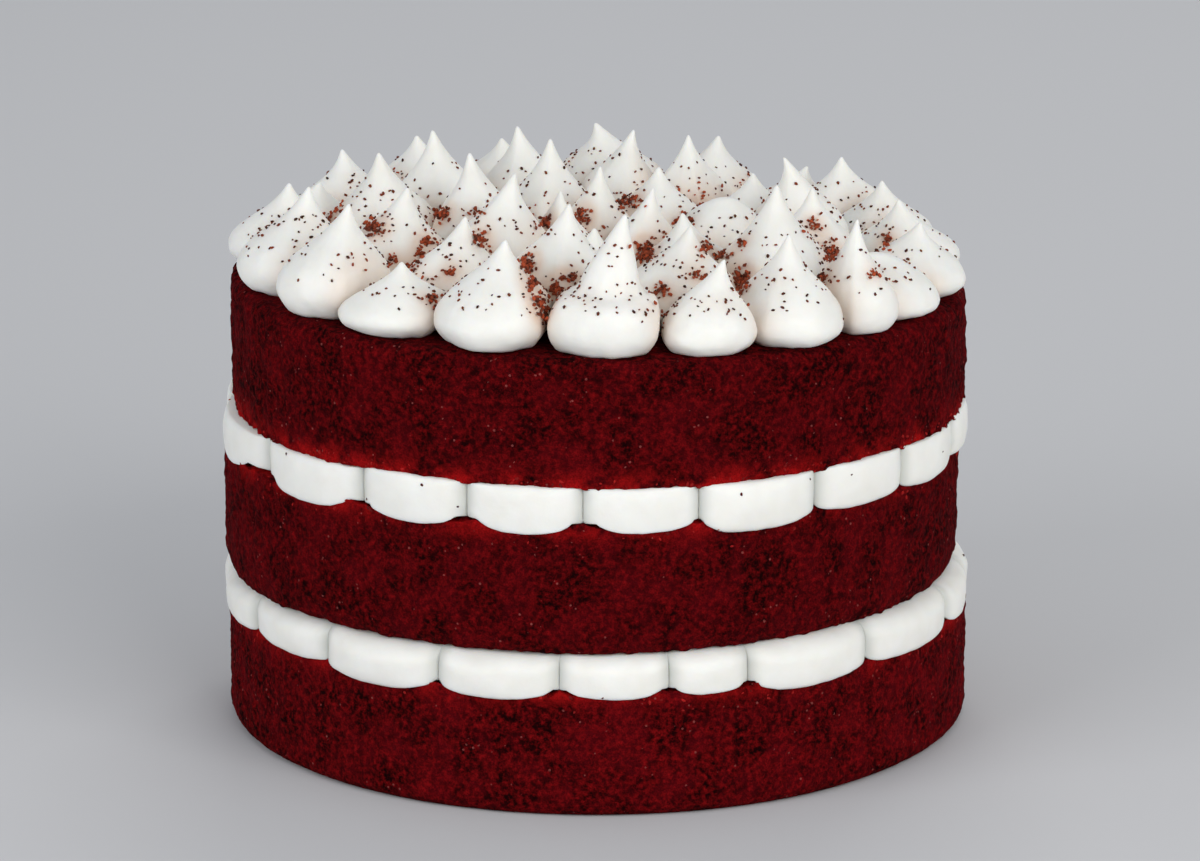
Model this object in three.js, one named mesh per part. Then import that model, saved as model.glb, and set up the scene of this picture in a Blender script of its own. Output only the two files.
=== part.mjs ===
// A red velvet layer cake: three sponges, two piped fillings and a crown of piped kisses.
// Millimetres, +Z up. The origin is the middle of the flat base and the front faces -Y.
// Angles run round the cake in degrees, from the front (-Y) towards +X.
import * as THREE from "three";

// ---- Driving sizes ----
const seatGap = 0.3; // between pieces that rest on or press against each other
const spongeSides = 72;

// The sponges, baked in 20 cm tins. A tin leaves one rounded edge, a levelling cut a sharp one.
const sponges = [
  {
    name: "sponge_bottom",
    radius: 100.3,
    shift: 0,
    bottom: 0,
    top: 34.4,
    bottomEdge: { inset: 4, height: 4 },
    topEdge: { inset: 1, height: 1 },
    slope: 0,
    seed: 11,
  },
  {
    name: "sponge_middle",
    radius: 99.8,
    shift: -1.7,
    bottom: 44.4,
    top: 79,
    bottomEdge: { inset: 4, height: 9 },
    topEdge: { inset: 1, height: 1 },
    slope: 0,
    seed: 12,
  },
  {
    name: "sponge_top",
    radius: 99.6,
    shift: 0,
    bottom: 88.3,
    top: 122,
    bottomEdge: { inset: 1, height: 1 },
    topEdge: { inset: 4, height: 4 },
    slope: -0.0192, // the top is a little higher on the left
    seed: 13,
  },
];
const sideWobble = 0.5; // how far a baked side strays from a true circle
const bottomSponge = sponges[0];
const middleSponge = sponges[1];
const topSponge = sponges[2];

// The fillings are rings of piped blobs, squashed by the sponge above. Each blob has its share
// of the ring in degrees, and how far it sags below the cut edge that it lies on.
const fillings = [
  {
    name: "filling_lower",
    under: bottomSponge,
    over: middleSponge,
    shift: -0.4,
    creaseRadius: 99.9,
    start: -65.3,
    blobs: [
      { share: 20.2, sag: 1.4 },
      { share: 20.8, sag: 3 },
      { share: 18.9, sag: 2.3 },
      { share: 16.5, sag: 1.6 },
      { share: 12.4, sag: 1.3 },
      { share: 22.1, sag: 3 },
      { share: 24.4, sag: 2.2 },
      { share: 17.5, sag: 1.6 },
      { share: 19, sag: 2.4 },
      { share: 16.5, sag: 1.5 },
      { share: 20.5, sag: 2.7 },
      { share: 18, sag: 2 },
      { share: 19.5, sag: 1.6 },
      { share: 17, sag: 2.5 },
      { share: 21, sag: 2.9 },
      { share: 18.5, sag: 1.7 },
      { share: 19.2, sag: 2.2 },
      { share: 17.5, sag: 1.4 },
      { share: 20.5, sag: 1.8 },
    ],
  },
  {
    name: "filling_upper",
    under: middleSponge,
    over: topSponge,
    shift: -0.2,
    creaseRadius: 98.9,
    start: -60.9,
    blobs: [
      { share: 22.9, sag: 2.6 },
      { share: 18.1, sag: 2 },
      { share: 17.9, sag: 2.3 },
      { share: 17.6, sag: 2 },
      { share: 19.6, sag: 3.6 },
      { share: 19.4, sag: 2.2 },
      { share: 18.4, sag: 2.6 },
      { share: 17, sag: 1.8 },
      { share: 19.5, sag: 2.5 },
      { share: 16.4, sag: 1.6 },
      { share: 18.6, sag: 2.2 },
      { share: 17.2, sag: 2.8 },
      { share: 20, sag: 2 },
      { share: 16.8, sag: 1.5 },
      { share: 18.8, sag: 2.4 },
      { share: 17.4, sag: 1.9 },
      { share: 19.2, sag: 2.7 },
      { share: 16.6, sag: 1.6 },
      { share: 18.6, sag: 2.2 },
    ],
  },
];
const stepsPerBlob = 7;
const bulgePerSag = 0.5; // a blob that sags more stands out more
const leastBulge = 1.2;
const creaseSag = 0.5;
const rimWall = 0.4; // the least thickness of what hangs over the edge

// The kisses: plain pointed dollops in three rings and a small middle group. A kiss has its
// share of the ring in degrees, its height, and how far its tip leans to the right.
const kissSides = 12;
const kissRings = [
  {
    name: "kiss_rim",
    reach: 100, // each kiss comes out to this radius
    start: -101,
    kisses: [
      { share: 18, height: 21.5, right: 0.9 },
      { share: 19.7, height: 26.7, right: 2.6 },
      { share: 17.2, height: 28, right: 4.1 },
      { share: 17.7, height: 17, right: 0.3 },
      { share: 19.8, height: 26, right: 2.6 },
      { share: 19.6, height: 34.3, right: 5.5, form: "stepped" },
      { share: 14.8, height: 22.8, right: 5.5 },
      { share: 18.9, height: 26.5, right: 1.8 },
      { share: 10, height: 28, right: 2.2 },
      { share: 16.8, height: 15, right: -2, form: "blunt" },
      { share: 18.5, height: 17.7, right: 4 },
      { share: 17, height: 18, right: -2 },
      { share: 14, height: 18, right: -0.6 },
      { share: 14, height: 20.5, right: -0.3 },
      { share: 14.5, height: 14.3, right: 5.8 },
      { share: 17.5, height: 20.3, right: 2.8 },
      { share: 21, height: 22.6, right: -4 },
      { share: 18, height: 18, right: -2.3 },
      { share: 18, height: 20.8, right: -2.2 },
      { share: 17, height: 20.3, right: -3.3 },
      { share: 18, height: 16, right: 3 },
    ],
  },
  {
    name: "kiss_second",
    centre: 58,
    start: -87.5,
    kisses: [
      { share: 32, height: 25.7, right: 4.7 },
      { share: 29.5, height: 24, right: 3.4 },
      { share: 31, height: 31, right: 3.4 },
      { share: 32.5, height: 24.8, right: 3.3 },
      { share: 31.5, height: 32, right: 0.8 },
      { share: 29, height: 25, right: 0 },
      { share: 23, height: 27.5, right: -4 },
      { share: 23, height: 18.5, right: 0 },
      { share: 20.5, height: 26, right: 0 },
      { share: 20.5, height: 26, right: 4.8 },
      { share: 27.5, height: 27, right: -3.4 },
      { share: 28.5, height: 28.7, right: -2.8 },
      { share: 31.5, height: 28, right: -2.5 },
    ],
  },
  {
    name: "kiss_third",
    centre: 33,
    start: -80,
    kisses: [
      { share: 51.4, height: 30.3, right: 5 },
      { share: 51.4, height: 19, right: 1 },
      { share: 51.4, height: 21, right: -2 },
      { share: 51.4, height: 19, right: 2, form: "blunt" },
      { share: 51.4, height: 22, right: 1 },
      { share: 51.4, height: 29, right: 0 },
      { share: 51.6, height: 29.4, right: -2.6 },
    ],
  },
  {
    name: "kiss_middle",
    centre: 13,
    start: -116,
    kisses: [
      { share: 120, height: 23, right: 1 },
      { share: 120, height: 24, right: 3.3 },
      { share: 120, height: 25.5, right: 1.8 },
    ],
  },
];
const squeeze = 1.2; // a kiss would spread this much wider than its neighbours let it
const smallestSpread = 14; // the least radius that a kiss spreads to, where it has room
const kissForms = {
  plain: [[0.8, 0], [1, 0.16], [0.92, 0.36], [0.64, 0.56], [0.34, 0.76], [0.13, 0.92]],
  stepped: [[0.82, 0], [1, 0.13], [0.94, 0.32], [0.62, 0.42], [0.36, 0.66], [0.14, 0.9]],
  blunt: [[0.8, 0], [1, 0.2], [0.96, 0.42], [0.78, 0.64], [0.5, 0.84], [0.24, 0.96]],
};

// ---- Materials ----
function spongeMaterial() {
  return new THREE.MeshStandardMaterial({ color: 0x5c0d0b, roughness: 0.95, metalness: 0 });
}

function creamMaterial() {
  return new THREE.MeshStandardMaterial({ color: 0xeeeae0, roughness: 0.55, metalness: 0 });
}

// ---- Shared geometry ----
function seededRandom(seed) {
  let state = seed;
  return function next() {
    state = (state * 1664525 + 1013904223) % 4294967296;
    return state / 4294967296;
  };
}

// A smooth closed wave of about the given size, by angle in radians.
function makeWave(random, size, slowest, fastest) {
  const parts = [];
  for (let turns = slowest; turns <= fastest; turns += 1) {
    parts.push({ turns, phase: random() * 2 * Math.PI, weight: size / Math.sqrt(fastest - slowest + 1) });
  }
  return function wave(angle) {
    return parts.reduce((sum, part) => sum + part.weight * Math.sin(part.turns * angle + part.phase), 0);
  };
}

// The point at a radius and an angle in radians, counted from the front towards +X.
function polar(radius, angle, height) {
  return new THREE.Vector3(radius * Math.sin(angle), -radius * Math.cos(angle), height);
}

// A closed body from a stack of rings with equal numbers of points, from the bottom to the top,
// closed by a fan to one point below and one above.
function bodyFromRings(rings, lowPoint, highPoint) {
  const points = rings.flat();
  const count = rings[0].length;
  const low = points.push(lowPoint) - 1;
  const high = points.push(highPoint) - 1;
  const last = (rings.length - 1) * count;
  const faces = [];
  for (let side = 0; side < count; side += 1) {
    const next = (side + 1) % count;
    faces.push(low, next, side);
    faces.push(high, last + side, last + next);
    for (let ring = 0; ring < rings.length - 1; ring += 1) {
      const here = ring * count;
      const above = here + count;
      faces.push(here + side, here + next, above + next);
      faces.push(here + side, above + next, above + side);
    }
  }
  const geometry = new THREE.BufferGeometry().setFromPoints(points);
  geometry.setIndex(faces);
  geometry.computeVertexNormals();
  return geometry;
}

// ---- Sponges ----
const sideWaves = new Map();
for (const sponge of sponges) {
  sideWaves.set(sponge, makeWave(seededRandom(sponge.seed), sideWobble, 2, 6));
}

function sideRadius(sponge, angle) {
  return sponge.radius + sideWaves.get(sponge)(angle);
}

function spongeGeometry(sponge) {
  const { bottomEdge, topEdge } = sponge;
  // Each level is an inset from the side and a height above the bottom, or below the top.
  const levels = [
    { inset: bottomEdge.inset, up: 0 },
    { inset: bottomEdge.inset * 0.3, up: bottomEdge.height * 0.3 },
    { inset: 0, up: bottomEdge.height },
    { inset: 0, down: topEdge.height },
    { inset: topEdge.inset * 0.3, down: topEdge.height * 0.3 },
    { inset: topEdge.inset, down: 0 },
  ];
  const rings = levels.map((level) => {
    const ring = [];
    for (let side = 0; side < spongeSides; side += 1) {
      const angle = (side / spongeSides) * 2 * Math.PI;
      const point = polar(sideRadius(sponge, angle) - level.inset, angle, 0);
      const topHere = sponge.top + sponge.slope * point.x;
      point.z = "up" in level ? sponge.bottom + level.up : topHere - level.down;
      ring.push(point);
    }
    return ring;
  });
  const low = new THREE.Vector3(0, 0, sponge.bottom);
  const high = new THREE.Vector3(0, 0, sponge.top);
  return bodyFromRings(rings, low, high);
}

// ---- Fillings ----
// How full a blob is across its width: 0 at the crease beside it, 1 over most of its middle.
function blobFullness(across) {
  return Math.sqrt(1 - Math.abs(2 * across - 1) ** 3);
}

// How far a sponge's side is from the filling's own axis, in a direction.
function besideFilling(filling, sponge, angle) {
  return sideRadius(sponge, angle) + (sponge.shift - filling.shift) * Math.sin(angle);
}

// The filling's outline as columns round the ring: each has its angle, how full its blob is
// there, how far it comes out, and how far out it may only hang down.
function fillingColumns(filling) {
  const columns = [];
  let start = filling.start;
  for (const { share, sag } of filling.blobs) {
    for (let step = 0; step < stepsPerBlob; step += 1) {
      const across = step / stepsPerBlob;
      const full = blobFullness(across);
      const angle = THREE.MathUtils.degToRad(start + share * across);
      const out = filling.creaseRadius + (leastBulge + bulgePerSag * sag) * full;
      const edge = besideFilling(filling, filling.under, angle) + seatGap;
      columns.push({ angle, out, edge, sag: creaseSag + (sag - creaseSag) * full });
    }
    start += share;
  }
  return columns;
}

function fillingGeometry(filling) {
  const { under, over } = filling;
  const floor = under.top + seatGap;
  const ceiling = over.bottom - seatGap;
  const depth = ceiling - floor;
  const columns = fillingColumns(filling);
  const count = columns.length;
  const rings = [[], [], [], [], [], [], []];
  columns.forEach(({ angle, out, edge, sag }, index) => {
    // Only what stands out beyond the sponge's edge, here and beside here, sags below it.
    const beside = [columns[(index + count - 1) % count], columns[index], columns[(index + 1) % count]];
    const overhang = Math.min(...beside.map((column) => column.out - rimWall - column.edge));
    const drop = seatGap / 2 + sag * THREE.MathUtils.clamp(overhang / rimWall, 0, 1);
    const wall = Math.min(edge, out - rimWall);
    const lip = besideFilling(filling, over, angle) - over.bottomEdge.inset - seatGap;
    rings[0].push(polar(wall, angle, floor));
    rings[1].push(polar(wall, angle, floor - drop * 0.9));
    rings[2].push(polar(wall + (out - wall) * 0.7, angle, floor - drop));
    rings[3].push(polar(out, angle, floor + depth * 0.2));
    rings[4].push(polar(out - 0.4, angle, floor + depth * 0.55));
    rings[5].push(polar(Math.max(out - 1.8, lip + 0.2), angle, floor + depth * 0.85));
    rings[6].push(polar(lip, angle, ceiling));
  });
  const low = new THREE.Vector3(0, 0, floor);
  const high = new THREE.Vector3(0, 0, ceiling);
  return bodyFromRings(rings, low, high);
}

// ---- Kisses ----
// Where each kiss stands, how wide it spreads, and the half-width its neighbours leave it.
function placeKisses(ring) {
  let start = ring.start;
  return ring.kisses.map((kiss, index) => {
    const middle = THREE.MathUtils.degToRad(start + kiss.share / 2);
    const halfShare = THREE.MathUtils.degToRad(kiss.share / 2);
    start += kiss.share;
    const half = ring.reach ? (ring.reach * halfShare) / (1 + halfShare) : ring.centre * Math.sin(halfShare);
    const spread = Math.max(half * squeeze, smallestSpread);
    const radius = ring.reach ? ring.reach - spread : ring.centre;
    const foot = polar(radius, middle, 0);
    const lean = new THREE.Vector3(kiss.right, 0, 0);
    const name = `${ring.name}_${String(index + 1).padStart(2, "0")}`;
    return { name, foot, half, spread, lean, height: kiss.height, form: kissForms[kiss.form ?? "plain"] };
  });
}

// The flat borders between a kiss and the others round it: the direction towards each, and how
// far the kiss may reach that way. A wider kiss keeps more of the distance.
function findBorders(kiss, kisses) {
  return kisses
    .filter((other) => other !== kiss)
    .map((other) => {
      const towards = other.foot.clone().sub(kiss.foot);
      const distance = towards.length();
      const share = distance / 2 + (kiss.half ** 2 - other.half ** 2) / (2 * distance);
      return { towards: towards.normalize(), reach: share - seatGap / 2 };
    })
    .filter((border) => border.reach < 2 * kiss.spread);
}

// How far a kiss may go in a direction from a point of its own, before it meets a border.
function roomInDirection(borders, point, direction) {
  const rooms = borders
    .filter(({ towards }) => direction.dot(towards) > 0.05)
    .map(({ towards, reach }) => (reach - point.dot(towards)) / direction.dot(towards));
  return Math.min(...rooms);
}

// A kiss fills the room at its foot, and grows rounder and leans further towards its tip.
function kissGeometry(kiss, borders, random) {
  const lobes = makeWave(random, 0.05, 2, 3);
  const foot = new THREE.Vector3(0, 0, 0);
  const sides = [];
  for (let side = 0; side < kissSides; side += 1) {
    const angle = (side / kissSides) * 2 * Math.PI;
    const direction = polar(1, angle, 0);
    const free = kiss.spread * (1 + lobes(angle));
    sides.push({ direction, radius: Math.min(free, roomInDirection(borders, foot, direction)) });
  }
  const meanRadius = sides.reduce((sum, side) => sum + side.radius, 0) / kissSides;
  const rings = kiss.form.map(([width, up]) => {
    const middle = kiss.lean.clone().multiplyScalar(Math.pow(up, 1.6));
    return sides.map(({ direction, radius }) => {
      const wanted = width * THREE.MathUtils.lerp(radius, meanRadius, up);
      const allowed = Math.min(wanted, roomInDirection(borders, middle, direction));
      return middle.clone().addScaledVector(direction, allowed).setZ(kiss.height * up);
    });
  });
  const low = new THREE.Vector3(0, 0, 0);
  const high = kiss.lean.clone().setZ(kiss.height);
  const geometry = bodyFromRings(rings, low, high);
  // The kiss stands on the sloping top, so its points rise and fall with it.
  const points = geometry.getAttribute("position");
  for (let index = 0; index < points.count; index += 1) {
    const alongSlope = (points.getX(index) + kiss.foot.x) * topSponge.slope;
    points.setZ(index, points.getZ(index) + alongSlope);
  }
  geometry.computeVertexNormals();
  return geometry;
}

// ---- The cake ----
const cake = new THREE.Group();

for (const sponge of sponges) {
  const mesh = new THREE.Mesh(spongeGeometry(sponge), spongeMaterial());
  mesh.name = sponge.name;
  mesh.position.x = sponge.shift;
  cake.add(mesh);
}

for (const filling of fillings) {
  const mesh = new THREE.Mesh(fillingGeometry(filling), creamMaterial());
  mesh.name = filling.name;
  mesh.position.x = filling.shift;
  cake.add(mesh);
}

const crown = new THREE.Group();
crown.position.z = topSponge.top + seatGap;
const kisses = kissRings.flatMap(placeKisses);
const kissRandom = seededRandom(31);
for (const kiss of kisses) {
  const mesh = new THREE.Mesh(kissGeometry(kiss, findBorders(kiss, kisses), kissRandom), creamMaterial());
  mesh.name = kiss.name;
  mesh.position.copy(kiss.foot);
  crown.add(mesh);
}
cake.add(crown);

export default cake;
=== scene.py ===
# A red velvet layer cake: three sponges, two piped fillings between them, a crown of piped
# kisses, and the crumbs that lie on them. Everything is in metres, with the front facing -Y.
import math
import random

import bmesh
import bpy
import numpy as np
from mathutils import Matrix, Vector
from mathutils.bvhtree import BVHTree
from mathutils.kdtree import KDTree


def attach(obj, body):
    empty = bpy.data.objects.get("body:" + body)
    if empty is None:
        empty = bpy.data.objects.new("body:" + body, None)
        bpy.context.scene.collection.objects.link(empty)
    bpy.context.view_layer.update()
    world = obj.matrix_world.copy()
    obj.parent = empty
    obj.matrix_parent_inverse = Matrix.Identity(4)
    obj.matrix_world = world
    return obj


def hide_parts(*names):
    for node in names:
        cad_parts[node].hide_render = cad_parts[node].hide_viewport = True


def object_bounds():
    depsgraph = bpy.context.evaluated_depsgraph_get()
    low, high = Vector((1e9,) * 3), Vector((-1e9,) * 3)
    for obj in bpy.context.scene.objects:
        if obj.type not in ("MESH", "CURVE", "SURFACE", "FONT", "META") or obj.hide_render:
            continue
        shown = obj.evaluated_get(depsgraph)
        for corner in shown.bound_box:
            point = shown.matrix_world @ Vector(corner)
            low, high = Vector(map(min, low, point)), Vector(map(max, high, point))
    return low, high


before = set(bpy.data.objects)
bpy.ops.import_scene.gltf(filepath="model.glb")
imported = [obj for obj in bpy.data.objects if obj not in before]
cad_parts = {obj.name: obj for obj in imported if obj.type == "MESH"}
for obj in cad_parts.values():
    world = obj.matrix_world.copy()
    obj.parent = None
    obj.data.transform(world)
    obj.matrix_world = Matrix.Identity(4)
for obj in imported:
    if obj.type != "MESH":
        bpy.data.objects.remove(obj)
cad_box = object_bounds()
bpy.ops.object.select_all(action="DESELECT")

# ---- Camera, light and floor ----
# The cake is seen from a little above and some way off. It stands on a plain pale floor, under
# one wide soft light from above the front right, with weaker ones on both sides and behind.
camera_place = Vector((0.0008, -1.7395, 0.5402))
camera_aim = Vector((0.0008, 0, 0.0774))
camera_lens = 199.3  # in millimetres, like the sensor's width
sensor_width = 36
cake_middle = (0, 0, 0.08)

camera_turn = (camera_aim - camera_place).to_track_quat("-Z", "Y").to_euler()
bpy.ops.object.camera_add(location=camera_place, rotation=camera_turn)
camera = bpy.context.object
camera.name = "camera"
camera.data.lens = camera_lens
camera.data.sensor_width = sensor_width
camera.data.clip_end = 20
bpy.context.scene.camera = camera
bpy.context.scene.view_settings.view_transform = "Standard"


def hang_light(name, place, aim, size, power, colour):
    """A square soft light, turned towards what it lights."""
    turn = (Vector(aim) - Vector(place)).to_track_quat("-Z", "Y").to_euler()
    bpy.ops.object.light_add(type="AREA", location=place, rotation=turn)
    light = bpy.context.object
    light.name = name
    light.data.size = size
    light.data.energy = power
    light.data.color = colour


def set_values(node, values):
    """Gives a node's sockets the values given, by the sockets' names."""
    for socket, value in values.items():
        node.inputs[socket].default_value = value


def new_finish(name, values):
    """A material whose shader has the values given."""
    finish = bpy.data.materials.new(name)
    finish.use_nodes = True
    set_values(finish.node_tree.nodes["Principled BSDF"], values)
    return finish


hang_light("window_light", (0.95, -1.55, 0.95), cake_middle, 1.4, 19.5, (1, 0.99, 0.975))
hang_light("right_light", (1.6, -0.9, 0.5), cake_middle, 1.2, 5, (1, 0.99, 0.98))
hang_light("left_light", (-1.4, -1.2, 0.7), cake_middle, 1.3, 16, (0.97, 0.98, 1))
hang_light("back_light", (0.2, 1.2, 1.3), (0, 0, 0.1), 0.9, 6, (1, 0.99, 0.97))

room_light = bpy.data.worlds.new("room_light")
room_light.use_nodes = True
set_values(room_light.node_tree.nodes["Background"], {"Color": (0.8, 0.84, 0.9, 1), "Strength": 0.44})
bpy.context.scene.world = room_light

pale_floor = {"Base Color": (0.62, 0.62, 0.63, 1), "Roughness": 0.9, "Specular IOR Level": 0.2}
bpy.ops.mesh.primitive_plane_add(size=8)
floor = bpy.context.object
floor.name = "floor"
floor.data.materials.append(new_finish("floor_finish", pale_floor))

# ---- Bottom sponge ----
# The lowest of three sponges baked in round 20 cm tins, dense and damp, dark red all through.
# The tin leaves its bottom edge rounded, and a knife has cut its top level, with a torn edge.
sides_round = 1080  # columns round a sponge
side_rows = 50  # rows up the straight part of a side
edge_steps = 5  # rows round an edge
under_rings = (0.03, 0.006, 0.003, 0.0012)  # how far in from the edge the underside has rings
over_rings = (0.0012, 0.003, 0.006, 0.012, 0.03)  # and the top
baked_edge = (0.004, 0.004)  # how far in and up an edge goes that the tin has rounded
cut_edge = (0.001, 0.001)  # and one that a knife has cut
solid_sides = 72  # sides round a sponge's solid
same_place = 0.00001  # points closer than this are one
full_turn = 2 * math.pi
nodes_a_row = 8
node_width = 220
node_height = 320
weight_steps = 25  # grades of a vertex group's weights
flank_start = 0.090  # inside this radius a sponge is hidden
flank_blend = 0.004
foot_blend = 0.003  # height over which the lowest sponge gets its crumb
torn_width = 0.0035  # how far from a cut the crumb is torn
red_width = 0.0037  # and a brighter red
crumb_relief = ((0.011, 0.0009, 2), (0.0038, 0.0008, 1), (0.0021, 0.0006, 0))  # grain, height, detail


def node_corners(name):
    """A solid's separate corners, as rows of x, y and z."""
    copy = bmesh.new()
    copy.from_mesh(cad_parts[name].data)
    bmesh.ops.remove_doubles(copy, verts=copy.verts, dist=same_place)
    corners = np.array([corner.co for corner in copy.verts])
    copy.free()
    return corners


def vertex_places(piece):
    """A piece's vertices, as rows of x, y and z."""
    flat = np.empty(len(piece.data.vertices) * 3)
    piece.data.vertices.foreach_get("co", flat)
    return flat.reshape(-1, 3)


def move_vertices(piece, places):
    """Puts a piece's vertices at the places given."""
    piece.data.vertices.foreach_set("co", places.astype(np.float32).ravel())
    piece.data.update()


def angles_of(places):
    """Each place's angle round the cake, from the front towards +X."""
    return np.arctan2(places[:, 0], -places[:, 1])


def radii_of(places):
    """Each place's distance from the cake's axis."""
    return np.hypot(places[:, 0], places[:, 1])


def directions_round(count):
    """The angles of a number of equal directions round the cake."""
    return np.radians(np.arange(count) * 360 / count)


def nearest_direction(places, count):
    """Which of a number of equal directions round the cake each place is nearest to."""
    return np.round(angles_of(places) / full_turn * count).astype(int) % count


def look_around(name):
    """A solid's middle, its corners as seen from there, and how far each is from that axis."""
    corners = node_corners(name)
    middle = corners[np.argmin(radii_of(corners))]
    around = corners - (middle[0], middle[1], 0)
    return middle, around, radii_of(around)


def turn_up(name, levels, count):
    """A profile of radius and height, drawn from the axis back to the axis and turned right round."""
    bpy.ops.mesh.primitive_plane_add(size=0.001, location=(0, 0, levels[0][1]))
    piece = bpy.context.object
    piece.name = name
    bpy.ops.object.mode_set(mode="EDIT")
    bpy.ops.mesh.select_mode(type="VERT")
    bpy.ops.mesh.merge(type="CENTER")
    reach, height = 0, levels[0][1]
    for next_reach, next_height in (*levels, (0, levels[-1][1])):
        step = (0, reach - next_reach, next_height - height)
        bpy.ops.mesh.extrude_region_move(TRANSFORM_OT_translate={"value": step})
        reach, height = next_reach, next_height
    bpy.ops.object.mode_set(mode="OBJECT")
    bpy.ops.object.transform_apply(location=True)
    lathe = piece.modifiers.new("lathe", "SCREW")
    lathe.steps = count
    lathe.render_steps = count
    lathe.use_merge_vertices = True
    lathe.merge_threshold = 0.000002
    lathe.use_normal_calculate = True
    bpy.ops.object.modifier_apply(modifier=lathe.name)
    bpy.ops.object.mode_set(mode="EDIT")
    bpy.ops.mesh.select_all(action="SELECT")
    bpy.ops.mesh.normals_make_consistent(inside=False)
    bpy.ops.object.mode_set(mode="OBJECT")
    return piece


def rounded_edge(reach, height, inset, rise):
    """Levels round an edge, from inside it up to its full reach. A negative rise comes down to it."""
    levels = []
    for step in range(edge_steps + 1):
        turn = step / edge_steps * math.pi / 2
        levels.append((reach - inset * (1 - math.sin(turn)), height + rise * (1 - math.cos(turn))))
    return levels


def bake_sponge(name, reach, bottom, top, bottom_edge, top_edge):
    """A round sponge with a fine mesh on its side. An edge is how far it goes in and how far up."""
    low_edge = rounded_edge(reach, bottom, *bottom_edge)
    high_edge = rounded_edge(reach, top, top_edge[0], -top_edge[1])[::-1]
    low_cap = [(low_edge[0][0] - inwards, bottom) for inwards in under_rings]
    high_cap = [(high_edge[-1][0] - inwards, top) for inwards in over_rings]
    foot, shoulder = low_edge[-1][1], high_edge[0][1]
    side = [(reach, foot + (shoulder - foot) * row / side_rows) for row in range(1, side_rows)]
    return turn_up(name, low_cap + low_edge + side + high_edge + high_cap, sides_round)


def follow_solid(sponge, node, reach):
    """Gives a sponge the middle and the slightly uneven side that its solid has."""
    middle, around, radii = look_around(node)
    sides = nearest_direction(around, solid_sides)
    solid_side = np.array([radii[sides == side].max() for side in range(solid_sides)])
    places = vertex_places(sponge)
    side_here = np.interp(angles_of(places), directions_round(solid_sides), solid_side, period=full_turn)
    places[:, :2] *= (side_here / reach)[:, None]
    places[:, :2] += middle[:2]
    move_vertices(sponge, places)


def weigh_vertices(piece, group_name, weights):
    """A vertex group that says how far each vertex takes part in what is done next."""
    group = piece.vertex_groups.new(name=group_name)
    steps = np.round(weights * weight_steps).astype(int)
    for step in range(1, weight_steps + 1):
        group.add(np.flatnonzero(steps == step).tolist(), step / weight_steps, "REPLACE")


def raise_relief(piece, grain, height, group, direction="NORMAL", level=0.5, detail=2):
    """Relief of one grain and height, worked into a piece's mesh where a vertex group weighs it."""
    texture = bpy.data.textures.new("relief", "CLOUDS")
    texture.noise_scale = grain
    texture.noise_depth = detail
    relief = piece.modifiers.new("relief", "DISPLACE")
    relief.texture = texture
    relief.texture_coords = "LOCAL"
    relief.direction = direction
    relief.strength = height
    relief.mid_level = level
    relief.vertex_group = group
    bpy.context.view_layer.objects.active = piece
    bpy.ops.object.modifier_apply(modifier=relief.name)


def paint_vertices(piece, name, values):
    """Gives each vertex of a piece a value, for its material to read."""
    attribute = piece.data.attributes.new(name, "FLOAT", "POINT")
    attribute.data.foreach_set("value", np.asarray(values, dtype=np.float32))


def smooth_faces(piece):
    """Shades one piece smooth."""
    bpy.ops.object.select_all(action="DESELECT")
    piece.select_set(True)
    bpy.ops.object.shade_smooth()


def tear_sponge(sponge, cut_height, lowest=False):
    """Crumb on a sponge's side, and a torn edge where a knife has cut it. The lowest sponge stays
    smooth at its foot."""
    places = vertex_places(sponge)
    flank = np.clip((radii_of(places) - flank_start) / flank_blend, 0, 1)
    if lowest:
        flank *= np.clip(places[:, 2] / foot_blend, 0, 1)
    from_cut = np.abs(places[:, 2] - cut_height)
    weigh_vertices(sponge, "flank", flank)
    weigh_vertices(sponge, "torn", flank * np.clip(1 - from_cut / torn_width, 0, 1))
    for grain, height, detail in crumb_relief:
        raise_relief(sponge, grain, height, "flank", level=0.7, detail=detail)
    raise_relief(sponge, 0.0040, 0.0026, "torn", direction="Z", detail=1)
    raise_relief(sponge, 0.0024, 0.0014, "torn", level=0.8, detail=1)
    paint_vertices(sponge, "cut", np.exp(-((from_cut / red_width) ** 2)))
    smooth_faces(sponge)


def add_node(tree, kind, **settings):
    """A node next to the others of its tree, with its settings."""
    node = tree.nodes.new(kind if kind.startswith("NodeGroup") else "ShaderNode" + kind)
    row, column = divmod(len(tree.nodes), nodes_a_row)
    node.location = (column * node_width, -row * node_height)
    for setting, value in settings.items():
        setattr(node, setting, value)
    return node


def join(tree, *links):
    """Links nodes, each link a node and its output, and a node and its input."""
    for giver, output, taker, socket in links:
        tree.links.new(giver.outputs[output], taker.inputs[socket])


def ramp_stops(node, *stops):
    """Sets a colour ramp's stops, each a position and a colour."""
    ramp = node.color_ramp
    while len(ramp.elements) < len(stops):
        ramp.elements.new(0.5)
    for element, (position, colour) in zip(ramp.elements, stops):
        element.position = position
        element.color = (*colour, 1)


deep_red = (0.0085, 0.0005, 0.0009, 1)
dark_red = (0.078, 0.0016, 0.0036, 1)
grain_red = (0.25, 0.0045, 0.0060, 1)
cut_red = (0.35, 0.0055, 0.0060, 1)
speck_pink = (0.34, 0.085, 0.075, 1)
speck_size = 0.17  # as a share of the space between specks
speck_rarity = 0.60
speck_strength = 0.55
grain_contrast = 1.58
grain_floor = 0.13  # how light the finest grain's darkest spots are


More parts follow.
